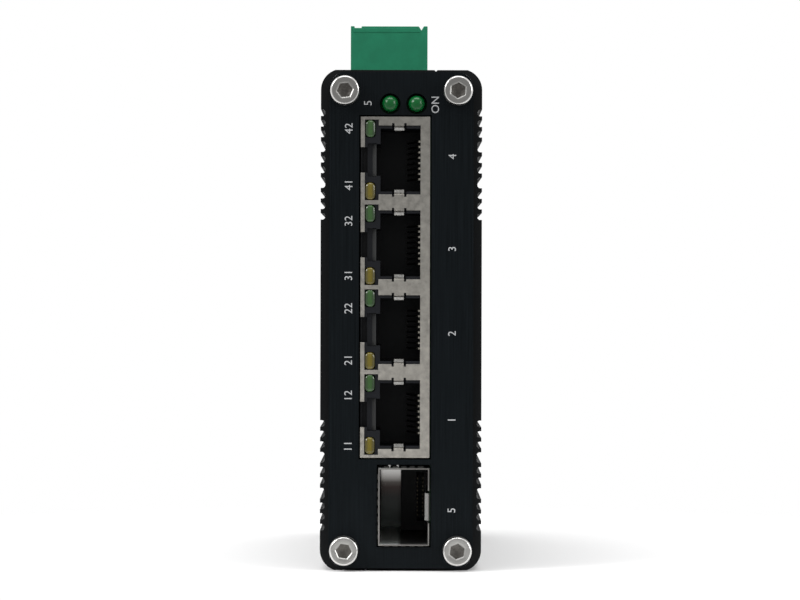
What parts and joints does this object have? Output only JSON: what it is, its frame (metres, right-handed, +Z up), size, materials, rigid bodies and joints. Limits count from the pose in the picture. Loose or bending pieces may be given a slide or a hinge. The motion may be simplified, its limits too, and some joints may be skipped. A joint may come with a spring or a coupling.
{
  "type": "poe switch",
  "caption": "Slim finned metal network switch that hangs on a rail, with cable jacks, an optical module cage, status lights and a green screw terminal plug on top.",
  "frame": {"origin": "middle of the housing's bottom face", "axes": "+X to the right seen from the front, +Y from the front panel to the rail clip, +Z up"},
  "size_m": [0.0306, 0.1088, 0.106],
  "materials": {
    "shell_black": "black anodised extrusion, satin",
    "panel_black": "black anodised plate, brushed from top to bottom",
    "screw_steel": "stainless steel, machined",
    "clip_alloy": "black anodised extrusion, satin",
    "spring_steel": "bright spring steel",
    "zinc_steel": "zinc plated steel",
    "board_green": "green solder mask on glass fibre",
    "jack_nickel": "nickel plated sheet, dull",
    "insulator_black": "black moulded plastic",
    "contact_gold": "gold plated contact spring",
    "green_lens": "clear green tinted lens, unlit",
    "yellow_lens": "diffused yellow lens, unlit",
    "cage_nickel": "nickel plated sheet, bright",
    "status_green": "diffused green dome, unlit",
    "terminal_green": "green moulded plastic",
    "tin_pin": "tin plated pin",
    "chip_black": "black epoxy",
    "pad_grey": "soft grey thermal pad",
    "ferrite_grey": "pressed ferrite",
    "can_sleeve": "bare aluminium can"
  },
  "bodies": {
    "root": {"left_shell": "shell_black", "right_shell": "shell_black", "front_panel": "panel_black", "rear_panel": "panel_black", "front_screws": "screw_steel", "rear_screws": "screw_steel", "rail_clip": "clip_alloy", "rail_spring": "spring_steel", "clip_screws": "zinc_steel", "main_board": "board_green", "jack_shield": "jack_nickel", "jack_body": "insulator_black", "jack_contacts_1": "contact_gold", "jack_contacts_2": "contact_gold", "jack_contacts_3": "contact_gold", "jack_contacts_4": "contact_gold", "jack_green_lights": "green_lens", "jack_yellow_lights": "yellow_lens", "sfp_cage": "cage_nickel", "sfp_spring_collar": "spring_steel", "sfp_socket": "insulator_black", "sfp_contacts": "contact_gold", "status_light_holder": "insulator_black", "status_lights": "status_green", "power_header": "terminal_green", "header_pins": "tin_pin", "terminal_plug": "terminal_green", "clamp_screws": "zinc_steel", "wire_clamps": "zinc_steel", "switch_chip": "chip_black", "thermal_pad": "pad_grey", "port_transformers": "chip_black", "poe_controller": "chip_black", "power_coils": "ferrite_grey", "input_capacitors": "can_sleeve", "crystal": "tin_pin"}
  },
  "joints": []
}
